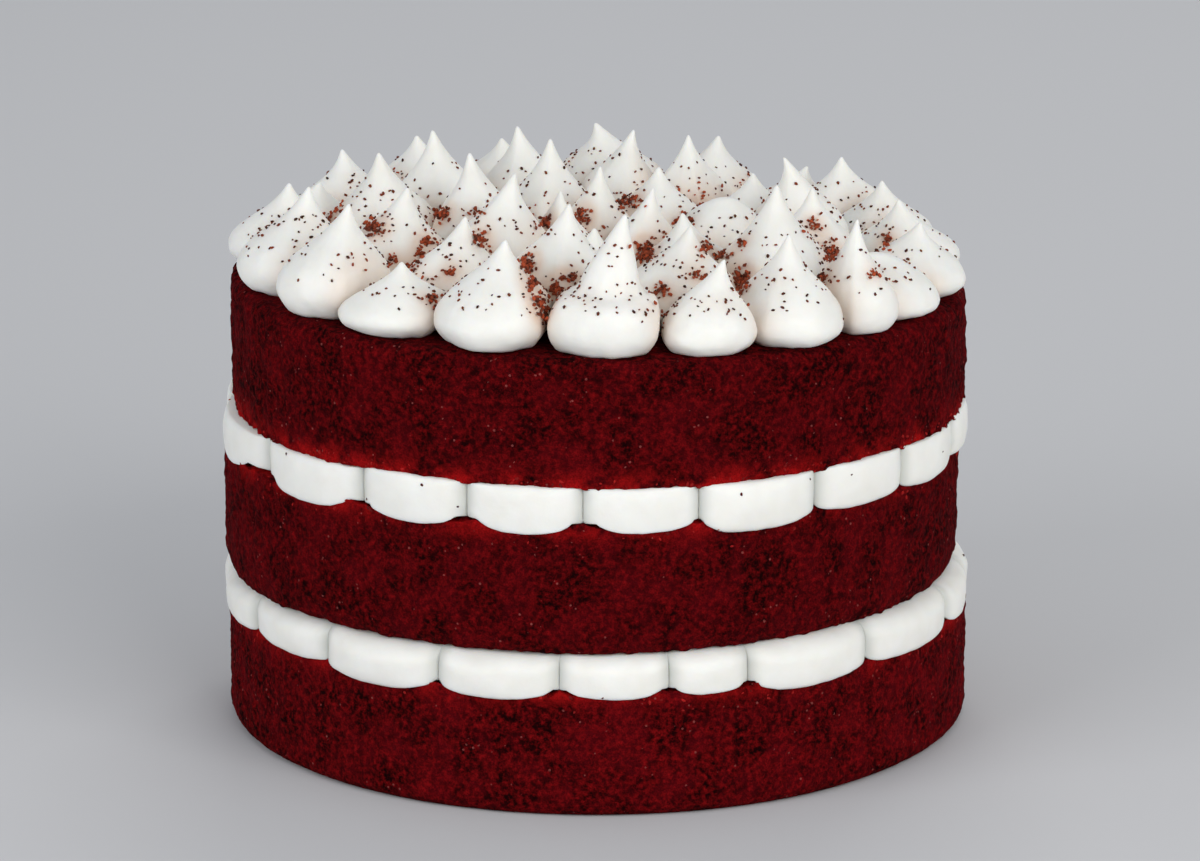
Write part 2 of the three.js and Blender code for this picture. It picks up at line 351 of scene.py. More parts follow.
def make_crumb_group():
    """The look of red velvet crumb: blotches, grain, pale specks, and a brighter red where cut."""
    group = bpy.data.node_groups.new("red_velvet_crumb", "ShaderNodeTree")
    for name in ("Blotches", "Grain", "Cut"):
        group.interface.new_socket(name=name, in_out="INPUT", socket_type="NodeSocketFloat")
    for name, kind in (("Colour", "Color"), ("Height", "Float")):
        group.interface.new_socket(name=name, in_out="OUTPUT", socket_type="NodeSocket" + kind)
    given = add_node(group, "NodeGroupInput")
    result = add_node(group, "NodeGroupOutput")
    place = add_node(group, "TexCoord")

    def feed(kind, values, **settings):
        """A node whose inputs get values, or are linked to other nodes' outputs."""
        node = add_node(group, kind, **settings)
        for socket, value in values:
            if isinstance(value, bpy.types.NodeSocket):
                group.links.new(value, node.inputs[socket])
            else:
                node.inputs[socket].default_value = value
        return node

    def noise(scale, detail, roughness):
        grains = (("Scale", scale), ("Detail", detail), ("Roughness", roughness))
        return feed("TexNoise", (("Vector", place.outputs["Object"]), *grains)).outputs["Fac"]

    def mix(factor, first, second, kind="MIX"):
        values = ((0, factor), (6, first), (7, second))
        return feed("Mix", values, data_type="RGBA", blend_type=kind).outputs[2]

    def maths(kind, *values):
        return feed("Math", enumerate(values), operation=kind).outputs[0]

    def marks(amount, texture, low, high):
        """One kind of mark: noise between two levels, and that times how much of it a sponge has."""
        ramp = feed("ValToRGB", (("Fac", noise(*texture)),))
        ramp_stops(ramp, (low, (0, 0, 0)), (high, (1, 1, 1)))
        shown = ramp.outputs["Color"]
        return shown, maths("MULTIPLY", shown, given.outputs[amount])

    _, blotch_part = marks("Blotches", (95, 4, 0.6), 0.40, 0.62)
    grain, grain_part = marks("Grain", (620, 5, 0.7), 0.42, 0.66)
    _, cut_part = marks("Cut", (130, 4, 0.65), 0.40, 0.60)
    fine = noise(2100, 3, 0.6)
    base = mix(blotch_part, deep_red, dark_red)
    reddened = mix(cut_part, mix(grain_part, base, grain_red), cut_red)
    cells = feed("TexVoronoi", (("Vector", place.outputs["Object"]), ("Scale", 520)))
    speck = maths("LESS_THAN", cells.outputs["Distance"], speck_size)
    seldom = maths("GREATER_THAN", noise(200, 2, 0.5), speck_rarity)
    specks = maths("MULTIPLY", maths("MULTIPLY", speck, seldom), speck_strength)
    specked = mix(specks, reddened, speck_pink)
    shade = maths("MULTIPLY_ADD", fine, grain_contrast, grain_floor)
    group.links.new(mix(1.0, specked, shade, "MULTIPLY"), result.inputs["Colour"])
    group.links.new(maths("ADD", grain, fine), result.inputs["Height"])
    return group


crumb_group = make_crumb_group()


def sponge_finish(name, blotches, grain):
    """The crumb of one sponge, which shines hardly at all."""
    finish = new_finish(name, {"Roughness": 0.95, "Specular IOR Level": 0.025})
    tree = finish.node_tree
    shader = tree.nodes["Principled BSDF"]
    crumb = add_node(tree, "Group", node_tree=crumb_group)
    set_values(crumb, {"Blotches": blotches, "Grain": grain})
    cut = add_node(tree, "Attribute", attribute_name="cut")
    bump = add_node(tree, "Bump")
    set_values(bump, {"Strength": 0.7, "Distance": 0.0004})
    join(
        tree,
        (cut, "Fac", crumb, "Cut"),
        (crumb, "Colour", shader, "Base Color"),
        (crumb, "Height", bump, "Height"),
        (bump, "Normal", shader, "Normal"),
    )
    return finish


bottom_reach = 0.1003
bottom_top = 0.0344
bottom_sponge = bake_sponge("bottom_sponge", bottom_reach, 0, bottom_top, baked_edge, cut_edge)
follow_solid(bottom_sponge, "sponge_bottom", bottom_reach)
tear_sponge(bottom_sponge, bottom_top, lowest=True)
bottom_sponge.data.materials.append(sponge_finish("bottom_crumb", blotches=0.95, grain=0.72))
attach(bottom_sponge, "root")
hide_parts("sponge_bottom")

# ---- Lower filling ----
# Cream cheese icing, piped on the cut sponge in a ring of thick blobs that touch. The sponge
# above squashes them, so they bulge out past the cut edge and sag a little over it.
columns_per_blob = 36
bed_rows = 6  # rows of a filling's hidden bed
front_rows = 22  # round its front
lid_rows = 6  # of its hidden top
row_step = 0.001  # between rows that have not been shaped
hidden_reach = 0.055  # where the innermost rows are
rim_start = 0.05  # a solid's rim is outside this radius
fine_directions = 7200  # twentieths of a degree
same_column = 4  # corners within this many of them are in one column
least_dip = 0.00003  # a crease goes in at least this much
edge_directions = 120  # in which a sponge's edge is measured
edge_band = (0.004, 0.001)  # between these depths below its cut
edge_percentile = 70
solid_gap = 0.0003  # how far the solids stay apart
cream_bed = 0.0005  # how far cream sinks into crumb
cream_relief = 0.0007  # how uneven piped cream is
cream_grains = ((0.008, 1), (0.0028, 0.3))  # each grain of that, and its share
front_start = 0.0955  # cream is uneven outside this radius
front_blend = 0.002
blob_powers = (1.9, 2.2)  # from round across to squarer
blob_skew = 0.10  # a blob's greatest lean to one side
least_bulge = 0.0012  # a blob stands out this much past its creases
bulge_per_sag = 0.5  # and this much more for each unit of sag
extra_sag = 0.0007  # added to all of them
least_lip = 0.0013  # past the sponge under it
greatest_reach = 0.1016  # but inside the cake's own size
hang_curve = 0.72  # how soon a blob hangs on its way out
under_curve = 0.62  # how round its underside is
front_curve = 0.9  # and its front
bed_inset = 0.0016  # the bed ends this far inside the sponge's edge
front_depth = 0.0010  # and this far inside the blob's front
lip_start = 0.0002  # the underside starts this far outside that edge
least_depth = 0.0004  # of a front
lid_inset = 0.0030  # the hidden top starts this far inside the lid
crease_shade_width = 0.0024  # how far a crease's shadow reaches
crease_depth = 0.0014  # how much deeper a crease is than the solid's


def find_blobs(name):
    """A filling's middle, and each blob of its solid: where it starts, how wide it is, and how far
    out its crease and its front are."""
    middle, around, radii = look_around(name)
    rim = radii > rim_start
    turns = nearest_direction(around, fine_directions)
    columns = sorted(set(turns[rim]))
    apart = [turn - before > same_column for before, turn in zip(columns, columns[1:])]
    merged = [turn for turn, alone in zip(columns, [True, *apart]) if alone]
    reaches = [radii[rim & (np.abs(turns - turn) <= same_column)].max() for turn in merged]
    count = len(merged)
    creases = [
        index
        for index in range(count)
        if reaches[index] < min(reaches[index - 1], reaches[(index + 1) % count]) - least_dip
    ]
    blobs = []
    for order, first in enumerate(creases):
        last = creases[(order + 1) % len(creases)]
        inside = [(first + step) % count for step in range((last - first) % count + 1)]
        width = (merged[last] - merged[first]) % fine_directions
        blob = {"crease": reaches[first], "reach": max(reaches[index] for index in inside)}
        blob["start"] = math.radians(merged[first] * 360 / fine_directions)
        blob["width"] = math.radians(width * 360 / fine_directions)
        blobs.append(blob)
    return middle, blobs


def edge_around(sponge, cut_height, middle):
    """How far a sponge's side is from a filling's middle just under its cut, in each direction."""
    places = vertex_places(sponge)
    places = places[(places[:, 2] < cut_height - edge_band[1]) & (places[:, 2] > cut_height - edge_band[0])]
    places = places[radii_of(places) > flank_start] - (middle[0], middle[1], 0)
    turns = nearest_direction(places, edge_directions)
    radii = radii_of(places)
    return np.array([np.percentile(radii[turns == turn], edge_percentile) for turn in range(edge_directions)])


def pipe_filling(name, floor, ceiling, under, lid, top_edge, rises, seed):
    """A ring of squashed blobs on the sponge under it. The lid is how far the sponge above reaches.
    The top edge is where a blob meets that sponge and how gradually it curves there, and the rises
    are the least and most that a blob swells up past its ceiling."""
    middle, blobs = find_blobs(name)
    edges = edge_around(under, floor, middle)
    edge_angles = directions_round(edge_directions)
    draws = random.Random(seed)
    for blob in blobs:
        blob["power"] = draws.uniform(*blob_powers)
        blob["skew"] = draws.uniform(-blob_skew, blob_skew)
        blob["rise"] = draws.uniform(*rises)
    columns = columns_per_blob * len(blobs)
    rows = bed_rows + front_rows + lid_rows
    plan = [(hidden_reach + row_step * row, row_step * row) for row in range(rows)]
    ring = turn_up(name.replace("filling", "piped_filling"), plan, columns)
    places = vertex_places(ring)
    poles = radii_of(places) < row_step
    column_of = nearest_direction(places, columns)
    row_of = np.round(places[:, 2] / row_step).astype(int)
    crease_shades = np.zeros(len(places))
    for index, row in enumerate(row_of):
        if poles[index]:
            height = floor - cream_bed if row < bed_rows else ceiling + cream_bed
            places[index] = (middle[0], middle[1], height)
            continue
        blob_index, step = divmod(column_of[index], columns_per_blob)
        blob = blobs[blob_index]
        across = (1 - math.cos(math.pi * step / columns_per_blob)) / 2
        angle = blob["start"] + blob["width"] * across
        side = 2 * across - 1
        from_crease = (1 - abs(side)) * blob["width"] / 2 * blob["reach"]
        # painted shade: darkest at a crease and fading beside it
        crease_shades[index] = math.exp(-((from_crease / crease_shade_width) ** 2))
        side += blob["skew"] * (1 - side * side)
        full = 0 if step == 0 else math.sqrt(max(0, 1 - abs(side) ** blob["power"]))
        crease = blob["crease"] - crease_depth
        bed = np.interp(angle, edge_angles, edges, period=full_turn)
        out = max(blob["reach"] - cream_relief / 2, min(bed + least_lip, greatest_reach))
        reach = crease + (out - crease) * full
        hanging = max(0, reach - bed + 0.0001) / max(out - bed + 0.0001, 0.0001)
        sag = (blob["reach"] - blob["crease"] - least_bulge) / bulge_per_sag + extra_sag
        low = floor - solid_gap - sag * min(1, hanging) ** hang_curve
        high = ceiling + blob["rise"] * full
        if row < bed_rows:
            # The hidden bed, which ends just inside the edge of the sponge below.
            bed_end = min(bed - bed_inset, reach - front_depth)
            radius = hidden_reach + (bed_end - hidden_reach) * row / (bed_rows - 1)
            height = floor - cream_bed
        elif row < bed_rows + front_rows:
            # The front, round from its lowest point to its highest.
            turn = -math.pi / 2 + math.pi * (row - bed_rows) / (front_rows - 1)
            back = min(bed + lip_start if turn < 0 else top_edge[0], reach - least_depth)
            curve = under_curve if turn < 0 else top_edge[1]
            radius = back + (reach - back) * abs(math.cos(turn)) ** curve
            up = math.copysign(abs(math.sin(turn)) ** front_curve, math.sin(turn))
            height = (low + high) / 2 + (high - low) / 2 * up
        else:
            # The hidden top, under the sponge above.
            inner = row - bed_rows - front_rows
            radius = lid - lid_inset + (hidden_reach - lid + lid_inset) * inner / (lid_rows - 1)
            height = ceiling + cream_bed
        places[index] = (middle[0] + radius * math.sin(angle), middle[1] - radius * math.cos(angle), height)
    move_vertices(ring, places)
    # the painted crease shade, for the cream's material to mix in
    paint_vertices(ring, "crease_shade", crease_shades)
    return ring


def soften_cream(piece):
    """The slight unevenness of cream that has been piped and has settled."""
    front = np.clip((radii_of(vertex_places(piece)) - front_start) / front_blend, 0, 1)
    weigh_vertices(piece, "front", front)
    for grain, share in cream_grains:
        raise_relief(piece, grain, cream_relief * share, "front")
    smooth_faces(piece)


shaded_cream = (0.83, 0.82, 0.765)
bright_cream = (0.885, 0.88, 0.835)
# a red stain from crumbs, also used as a painted warm shade where kisses meet
stain_and_valley_shade = (0.64, 0.34, 0.17, 1)
# painted shade in the fillings' creases: a grey mixed into the cream, and how strongly
painted_crease_shade = (0.47, 0.49, 0.45, 1)
crease_shade_strength = 0.62
cream_gloss = {"Roughness": 0.5, "Specular IOR Level": 0.35}
cream_depth = {"Subsurface Weight": 0.35, "Subsurface Radius": (1, 0.8, 0.55), "Subsurface Scale": 0.003}


def cream_finish():
    """Cream cheese icing: almost white and softly glossy, stained beside crumbs, with shade painted in
    creases and where kisses meet.
    """
    finish = new_finish("cream_finish", {**cream_gloss, **cream_depth})
    tree = finish.node_tree
    shader = tree.nodes["Principled BSDF"]
    place = add_node(tree, "TexCoord")
    clouds = add_node(tree, "TexNoise")
    set_values(clouds, {"Scale": 120, "Detail": 3})
    body = add_node(tree, "ValToRGB")
    ramp_stops(body, (0.3, shaded_cream), (0.7, bright_cream))
    # the crumb stain, with painted warm shade where kisses meet
    stain_and_shade = add_node(tree, "Attribute", attribute_name="stain_and_shade")
    tint = add_node(tree, "Mix", data_type="RGBA")
    tint.inputs[7].default_value = stain_and_valley_shade
    # painted shade: grey mixed into the cream beside the creases
    crease_shade = add_node(tree, "Attribute", attribute_name="crease_shade")
    crease_shade_amount = add_node(tree, "Math", operation="MULTIPLY")
    crease_shade_amount.inputs[1].default_value = crease_shade_strength
    shadow = add_node(tree, "Mix", data_type="RGBA")
    shadow.inputs[7].default_value = painted_crease_shade
    fine = add_node(tree, "TexNoise")
    set_values(fine, {"Scale": 900, "Detail": 2})
    bump = add_node(tree, "Bump")
    set_values(bump, {"Strength": 0.25, "Distance": 0.0002})
    join(
        tree,
        (place, "Object", clouds, "Vector"),
        (place, "Object", fine, "Vector"),
        (clouds, "Fac", body, "Fac"),
        (body, "Color", tint, 6),
        (stain_and_shade, "Fac", tint, 0),
        (crease_shade, "Fac", crease_shade_amount, 0),
        (tint, 2, shadow, 6),
        (crease_shade_amount, 0, shadow, 0),
        (shadow, 2, shader, "Base Color"),
        (fine, "Fac", bump, "Height"),
        (bump, "Normal", shader, "Normal"),
    )
    return finish


cream = cream_finish()
middle_reach = 0.0998
middle_bottom = 0.0444
lower_filling = pipe_filling(
    "filling_lower",
    floor=bottom_top + solid_gap,
    ceiling=middle_bottom - solid_gap,
    under=bottom_sponge,
    lid=middle_reach - 0.004,
    top_edge=(0.0928, 0.9),
    rises=(-0.0009, -0.0001),
    seed=5,
)
soften_cream(lower_filling)
lower_filling.data.materials.append(cream)
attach(lower_filling, "root")
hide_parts("filling_lower")

# ---- Middle sponge ----
# The second sponge lies on the lower filling with its baked bottom down, so its lower edge is
# smooth and round. Its top is cut level, and it sits a little to the left of the others.
middle_top = 0.079
sunk = 0.0012  # how far a sponge sinks into the cream under it
middle_foot = (0.003, 0.007)  # its lower edge is rounder than the others
middle_sponge = bake_sponge(
    "middle_sponge", middle_reach, middle_bottom - sunk, middle_top, middle_foot, cut_edge
)
follow_solid(middle_sponge, "sponge_middle", middle_reach)
tear_sponge(middle_sponge, middle_top)
middle_sponge.data.materials.append(sponge_finish("middle_crumb", blotches=0.8, grain=0.6))
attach(middle_sponge, "root")
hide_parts("sponge_middle")

# ---- Upper filling ----
# A second ring of the same icing, piped in wider blobs on the middle sponge.
top_reach = 0.0996
top_bottom = 0.0883
upper_filling = pipe_filling(
    "filling_upper",
    floor=middle_top + solid_gap,
    ceiling=top_bottom - solid_gap,
    under=middle_sponge,
    lid=top_reach - 0.001,
    top_edge=(0.0987, 0.55),
    rises=(-0.0007, 0.0012),
    seed=6,
)
soften_cream(upper_filling)
upper_filling.data.materials.append(cream)
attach(upper_filling, "root")
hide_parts("filling_upper")

# ---- Top sponge ----
# The third sponge lies with its cut side down, so that its lower edge is torn, and some of the
# cream swells up in front of it. Its baked top is round at the edge and slopes down to the right.
top_height = 0.122
top_slope = -0.0192
slope_blend = 0.03  # the slope comes in over this height
top_sponge = bake_sponge("top_sponge", top_reach, top_bottom - sunk, top_height, cut_edge, baked_edge)
follow_solid(top_sponge, "sponge_top", top_reach)
tear_sponge(top_sponge, top_bottom)
sloping = vertex_places(top_sponge)
sloping[:, 2] += top_slope * sloping[:, 0] * np.clip((sloping[:, 2] - top_bottom) / slope_blend, 0, 1)
move_vertices(top_sponge, sloping)
top_sponge.data.materials.append(sponge_finish("top_crumb", blotches=0.75, grain=0.6))
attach(top_sponge, "root")
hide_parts("sponge_top")

# ---- Kisses ----
# The same icing, piped from above through a plain round nozzle into pointed kisses, in rings
# that press against each other. Each belly spreads till it meets its neighbours, and the tip
# is drawn out thin as the nozzle pulls away.
kiss_sides = 48
kiss_bed = 0.0005  # how far a kiss sinks into the crumb
same_level = 0.00005  # corners this close are on one level
touching = 0.0006  # kisses this close press against each other
least_facing = 0.05  # a border that faces away more is out of the way
free_share = 0.985  # a foot is free where it fills less of its room
pressed_spread = 1.02  # for a kiss with no free side
tip_width = 0.03  # share of its width at which a kiss closes
slimness = (0.9, 1.12)  # from least to most
belly_top = 0.9  # share of its height above which a kiss is smooth
belly_blend = 0.5
kiss_relief = ((0.0085, 0.0012), (0.0030, 0.0003))  # grain and height
corner_softness = 0.0004  # how roundly a kiss turns in to meet the next
kiss_moulds = {
    "plain": [
        (0.58, -0.01), (0.76, 0.0), (0.83, 0.035), (0.91, 0.08), (0.975, 0.135), (1.0, 0.20), (0.985, 0.28),
        (0.93, 0.36), (0.82, 0.44), (0.66, 0.53), (0.48, 0.62), (0.325, 0.71), (0.205, 0.80), (0.115, 0.88),
        (0.055, 0.95), (0.025, 0.985),
    ],
    "stepped": [
        (0.60, -0.01), (0.78, 0.0), (0.86, 0.04), (0.95, 0.09), (1.0, 0.16), (0.985, 0.24), (0.94, 0.30),
        (0.85, 0.345), (0.72, 0.372), (0.61, 0.392), (0.54, 0.43), (0.475, 0.51), (0.385, 0.61), (0.28, 0.72),
        (0.175, 0.82), (0.085, 0.92), (0.03, 0.98),
    ],
    "blunt": [
        (0.58, -0.01), (0.77, 0.0), (0.86, 0.04), (0.95, 0.10), (1.0, 0.20), (0.98, 0.34), (0.93, 0.46),
        (0.85, 0.57), (0.75, 0.67), (0.62, 0.76), (0.49, 0.84), (0.35, 0.91), (0.22, 0.96), (0.12, 0.985),
    ],
}
first_width = {"plain": 0.80, "stepped": 0.82, "blunt": 0.80}
unusual_kisses = {"kiss_rim_06": "stepped", "kiss_rim_10": "blunt", "kiss_third_04": "blunt"}
lean_power = 1.6
curled_tips = {"kiss_rim_17": 3.4, "kiss_second_07": 4.0}  # these lean only near the tip


def mould_kiss(form):
    """A kiss of unit width and height, smooth all over."""
    mould = turn_up("mould", kiss_moulds[form], kiss_sides)
    smooth = mould.modifiers.new("smooth", "SUBSURF")
    smooth.levels = 1
    smooth.render_levels = 1
    bpy.ops.object.modifier_apply(modifier=smooth.name)
    places = vertex_places(mould)
    places[:, 2] = np.clip(places[:, 2], 0, None) / places[:, 2].max()
    move_vertices(mould, places)
    bpy.ops.object.shade_smooth()
    return mould


def measure_kiss(name):
    """A kiss's foot and tip, its corners, and the ring of corners that it stands on."""
    corners = node_corners(name)
    level = corners[:, 2] - top_slope * corners[:, 0]
    standing = corners[level < level.min() + same_level]
    from_middle = np.hypot(*(standing[:, :2] - standing[:, :2].mean(axis=0)).T)
    foot = standing[np.argmin(from_middle)]
    ring = np.delete(standing, np.argmin(from_middle), axis=0)
    return {"corners": corners, "foot": foot, "tip": corners[np.argmax(level)], "ring": ring}


def find_borders(name):
    """The flat borders between a kiss and those that it touches: a direction and a reach."""
    here = kisses[name]
    borders = []
    for other_name, other in kisses.items():
        if other_name == name:
            continue
        apart = (other["foot"] - here["foot"])[:2]
        distance = np.hypot(*apart)
        towards = apart / distance
        reach = ((here["corners"] - here["foot"])[:, :2] @ towards).max()
        met = ((other["corners"] - other["foot"])[:, :2] @ -towards).max()
        if reach + met > distance - touching:
            borders.append((towards, reach, other_name))
    return borders


def soft_least(first, second):
    """The lesser of two lengths, turning softly from one to the other."""
    low = np.minimum(first, second)
    return low - corner_softness * np.log1p(np.exp(-np.abs(first - second) / corner_softness))


def unit_vectors(angles):
    """Flat directions of length one at the angles given."""
    return np.stack([np.cos(angles), np.sin(angles)], axis=1)


def room_towards(borders, directions, start):
    """How far it is from each start, in its direction, to the nearest border."""
    rooms = np.full(len(directions), 1.0)
    for towards, reach, _ in borders:
        facing = directions @ towards
        room = (reach - start @ towards) / np.maximum(facing, least_facing)
        rooms = np.where(facing > least_facing, np.minimum(rooms, room), rooms)
    return rooms


def spread_kiss(name, form, slim):
    """The places of a kiss's vertices: the mould, spread over the room that its neighbours leave."""
    kiss = kisses[name]
    borders = borders_of[name]
    places = vertex_places(moulds[form])
    widths = radii_of(places)
    angles = np.arctan2(places[:, 1], places[:, 0])
    directions = unit_vectors(angles)
    ups = places[:, 2]
    ring = (kiss["ring"] - kiss["foot"])[:, :2]
    ring_angles = np.arctan2(ring[:, 1], ring[:, 0])
    ring_sides = radii_of(ring) / first_width[form]
    ring_rooms = room_towards(borders, unit_vectors(ring_angles), np.zeros((len(ring), 2)))
    free = ring_sides < ring_rooms * free_share
    if free.any():
        order = np.argsort(ring_angles[free])
        spread = np.interp(angles, ring_angles[free][order], ring_sides[free][order], period=full_turn)
    else:
        spread = np.full(len(angles), ring_sides.max() * pressed_spread)
    sides = soft_least(spread, room_towards(borders, directions, np.zeros((len(places), 2))))
    mean_side = ring_sides.mean()
    lean = (kiss["tip"] - kiss["foot"])[:2]
    middles = lean * np.power(ups, curled_tips.get(name, lean_power))[:, None]
    reaches = widths * (sides * (1 - ups) + mean_side * ups)
    reaches = soft_least(reaches, room_towards(borders, directions, middles))
    reaches = np.maximum(reaches, 0) * np.clip(widths / tip_width, 0, 1)
    flat = kiss["foot"][:2] + middles + directions * reaches[:, None]
    height = kiss["tip"][2] - kiss["foot"][2] - top_slope * lean[0]
    rise = (height + kiss_bed) * np.power(ups, slim) - kiss_bed
    tall = kiss["foot"][2] + rise + top_slope * (flat[:, 0] - kiss["foot"][0])
    return np.column_stack([flat, tall])


moulds = {form: mould_kiss(form) for form in kiss_moulds}
kisses = {name: measure_kiss(name) for name in sorted(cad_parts) if name.startswith("kiss_")}
borders_of = {name: find_borders(name) for name in kisses}
kiss_draws = random.Random(44)
kiss_pieces = []
for name in kisses:
    form = unusual_kisses.get(name, "plain")
    piece = moulds[form].copy()
    piece.data = moulds[form].data.copy()
    piece.name = name.replace("kiss", "piped_kiss")
    bpy.context.scene.collection.objects.link(piece)
    move_vertices(piece, spread_kiss(name, form, kiss_draws.uniform(*slimness)))
    belly = np.clip((belly_top - vertex_places(moulds[form])[:, 2]) / belly_blend, 0, 1)
    weigh_vertices(piece, "belly", belly)
    for grain, height in kiss_relief:
        raise_relief(piece, grain, height, "belly")
    piece.data.materials.append(cream)
    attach(piece, "root")
    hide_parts(name)
    kiss_pieces.append(piece)
for mould in moulds.values():
    bpy.data.objects.remove(mould)

# ---- Crumbs ----
# Dry red velvet crumb, rubbed fine and scattered over the kisses from above. Single crumbs lie
# on the bellies, about as many have rolled together in the valleys, and some cling to torn edges.
crumb_shapes = 5
chance = random.Random(7)
single_crumbs = 2300
single_sizes = (0.0007, 0.0009, 0.0009, 0.0011, 0.0013)
single_reach = 0.101  # they fall inside this radius
drop_height = 0.2
clean_tip = 0.0075  # a tip is too steep for crumbs, this far down
clean_rim = 0.088  # outside this radius the feet are nearly clean
clean_foot = 0.010  # up to this height
clean_share = 0.85
heap_sizes = (0.0007, 0.0009, 0.0012, 0.0015)
heap_reach = 0.0965  # heaps end inside this radius
border_heap = 13  # crumbs along the border of two kisses
border_length = 0.0046  # how far they spread along it
border_width = 0.0018
pit_heaps = (15, 35, 80)  # crumbs in the pit between three
pit_width = 0.0024
first_pit = 0.01  # how far back they start, behind the heaps that show
picture_size = (1200, 861)
shown_heaps = (
    # across and down in the picture, how wide and tall there, and how many crumbs
    (375, 228, 6, 6, 75), (391, 262, 4, 5, 20), (427, 242, 5, 3, 26), (419, 254, 3, 5, 22),
    (410, 269, 4, 5, 32), (442, 214, 5, 5, 48), (450, 274, 5, 3, 22), (476, 214, 5, 3, 16),
    (479, 239, 5, 5, 38), (429, 300, 4, 5, 16), (527, 266, 4, 6, 75), (531, 284, 3, 6, 45),
    (538, 300, 3, 5, 42), (543, 313, 3, 6, 48), (556, 290, 5, 5, 36), (568, 279, 7, 3, 26),
    (546, 222, 4, 5, 32), (583, 216, 5, 5, 48), (629, 202, 9, 4, 75), (645, 253, 7, 7, 140),
    (664, 290, 4, 6, 24), (683, 220, 8, 4, 42), (704, 249, 4, 5, 36), (722, 256, 7, 3, 30),
    (743, 243, 4, 4, 16), (697, 276, 7, 4, 20), (742, 281, 5, 9, 100), (832, 252, 6, 8, 62),
    (824, 277, 5, 4, 16), (815, 226, 7, 5, 26), (887, 243, 4, 6, 26), (872, 272, 6, 4, 16),
)
shown_sizes = (0.0008, 0.0010, 0.0013, 0.0016)
shown_spread = 0.75  # share of that width and height where most of them are
shown_clean_tip = 0.005
few_sizes = (0.0008, 0.0011)  # on a ledge and on the fillings


def surface_of(pieces):
    """One surface made of several pieces, for crumbs to land on."""
    corners = []
    faces = []
    for piece in pieces:
        first = len(corners)
        corners.extend(vertex.co.copy() for vertex in piece.data.vertices)
        faces.extend([first + index for index in face.vertices] for face in piece.data.polygons)
    return BVHTree.FromPolygons(corners, faces)


def shape_crumb():
    """One small rough crumb of unit size, with few faces."""
    bpy.ops.mesh.primitive_ico_sphere_add(subdivisions=1, radius=0.5)
    crumb = bpy.context.object
    bpy.ops.object.mode_set(mode="EDIT")
    bpy.ops.mesh.select_all(action="SELECT")
    bpy.ops.transform.vertex_random(offset=0.16, seed=chance.randint(0, 9999))
    bpy.ops.transform.resize(value=(1, chance.uniform(0.55, 0.8), chance.uniform(0.45, 0.65)))
    bpy.ops.object.mode_set(mode="OBJECT")
    corners = vertex_places(crumb)
    faces = [tuple(face.vertices) for face in crumb.data.polygons]
    bpy.data.objects.remove(crumb)
    return corners, faces


def scatter(name, landings, finish):
    """Crumbs joined into one piece. A landing is a place, an outward direction, a size, a tilt and
    a shade."""
    corners = []
    faces = []
    shades = []
    for place, outwards, size, tilt, shade in landings:
        shape, shape_faces = chance.choice(shapes)
        turn = outwards.to_track_quat("Z", "Y").to_matrix()
        turn @= Matrix.Rotation(chance.uniform(0, full_turn), 3, "Z")
        turn @= Matrix.Rotation(chance.uniform(-tilt, tilt), 3, "X")
        first = len(corners)
        moved = shape @ np.array(turn).T * size + np.array(place)
        corners.extend(moved.tolist())
        faces.extend(tuple(first + index for index in face) for face in shape_faces)
        shades.extend([shade] * len(moved))
    mesh = bpy.data.meshes.new(name)
    mesh.from_pydata(corners, [], faces)
    mesh.update()
    piece = bpy.data.objects.new(name, mesh)
    bpy.context.scene.collection.objects.link(piece)
    paint_vertices(piece, "shade", shades)
    mesh.materials.append(finish)
    return piece


def crumb_finish(name, dark, bright):
    """Dry crumb, from dark to bright by each crumb's own shade."""
    finish = new_finish(name, {"Roughness": 0.9, "Specular IOR Level": 0.15})
    tree = finish.node_tree
    shader = tree.nodes["Principled BSDF"]
    shade = add_node(tree, "Attribute", attribute_name="shade")
    place = add_node(tree, "TexCoord")
    grain = add_node(tree, "TexNoise")
    grain.inputs["Scale"].default_value = 2500
    both = add_node(tree, "Math", operation="MULTIPLY_ADD")
    both.inputs[1].default_value = 0.5
    tone = add_node(tree, "ValToRGB")
    ramp_stops(tone, (0.25, dark), (1.1, bright))
    join(
        tree,
        (place, "Object", grain, "Vector"),
        (grain, "Fac", both, 0),
        (shade, "Fac", both, 2),
        (both, 0, tone, "Fac"),
        (tone, "Color", shader, "Base Color"),
    )
    return finish


shapes = [shape_crumb() for _ in range(crumb_shapes)]
crown = surface_of(kiss_pieces)
down = Vector((0, 0, -1))


def first_hit(surface, start, direction):
    """Where something thrown at a surface meets it, and the outward direction there, or None."""
    place, outwards, _, _ = surface.ray_cast(start, direction)
    return None if place is None else (place, outwards)


def land_on_crown(across, along):
    """Where a crumb dropped on the crown comes to lie, or None where it misses."""
    return first_hit(crown, Vector((across, along, drop_height)), down)


tips = KDTree(len(kisses))
for index, kiss in enumerate(kisses.values()):
    tips.insert(kiss["tip"], index)
tips.balance()


def fits(place, margin):
    """Whether a crumb at a place stays inside the cake's own size."""
    return all(low + margin < here < high - margin for low, here, high in zip(cad_box[0], place, cad_box[1]))


def holds_crumb(place, size):
    """Whether a crumb stays where it lands: not on a tip, and seldom on the foot of a rim kiss."""
    if tips.find(place)[2] < clean_tip:
        return False
    on_rim = math.hypot(place.x, place.y) > clean_rim
    above_sponge = place.z - top_height - top_slope * place.x
    if on_rim and above_sponge < clean_foot and chance.random() < clean_share:
        return False
    return fits(place, size)


landings = []
while len(landings) < single_crumbs:
    distance = single_reach * math.sqrt(chance.random())
    angle = chance.uniform(0, full_turn)
    landing = land_on_crown(distance * math.sin(angle), -distance * math.cos(angle))
    # The steeper it is where a crumb lands, the more likely it is to roll off.
    if landing is None or landing[1].z < 0.15 or chance.random() > 0.45 + 0.55 * landing[1].z:
        continue
    size = chance.choice(single_sizes)
    place = landing[0] + landing[1] * size * 0.12
    if holds_crumb(place, size):
        landings.append((place, landing[1], size, 0.5, chance.uniform(0, 0.35)))


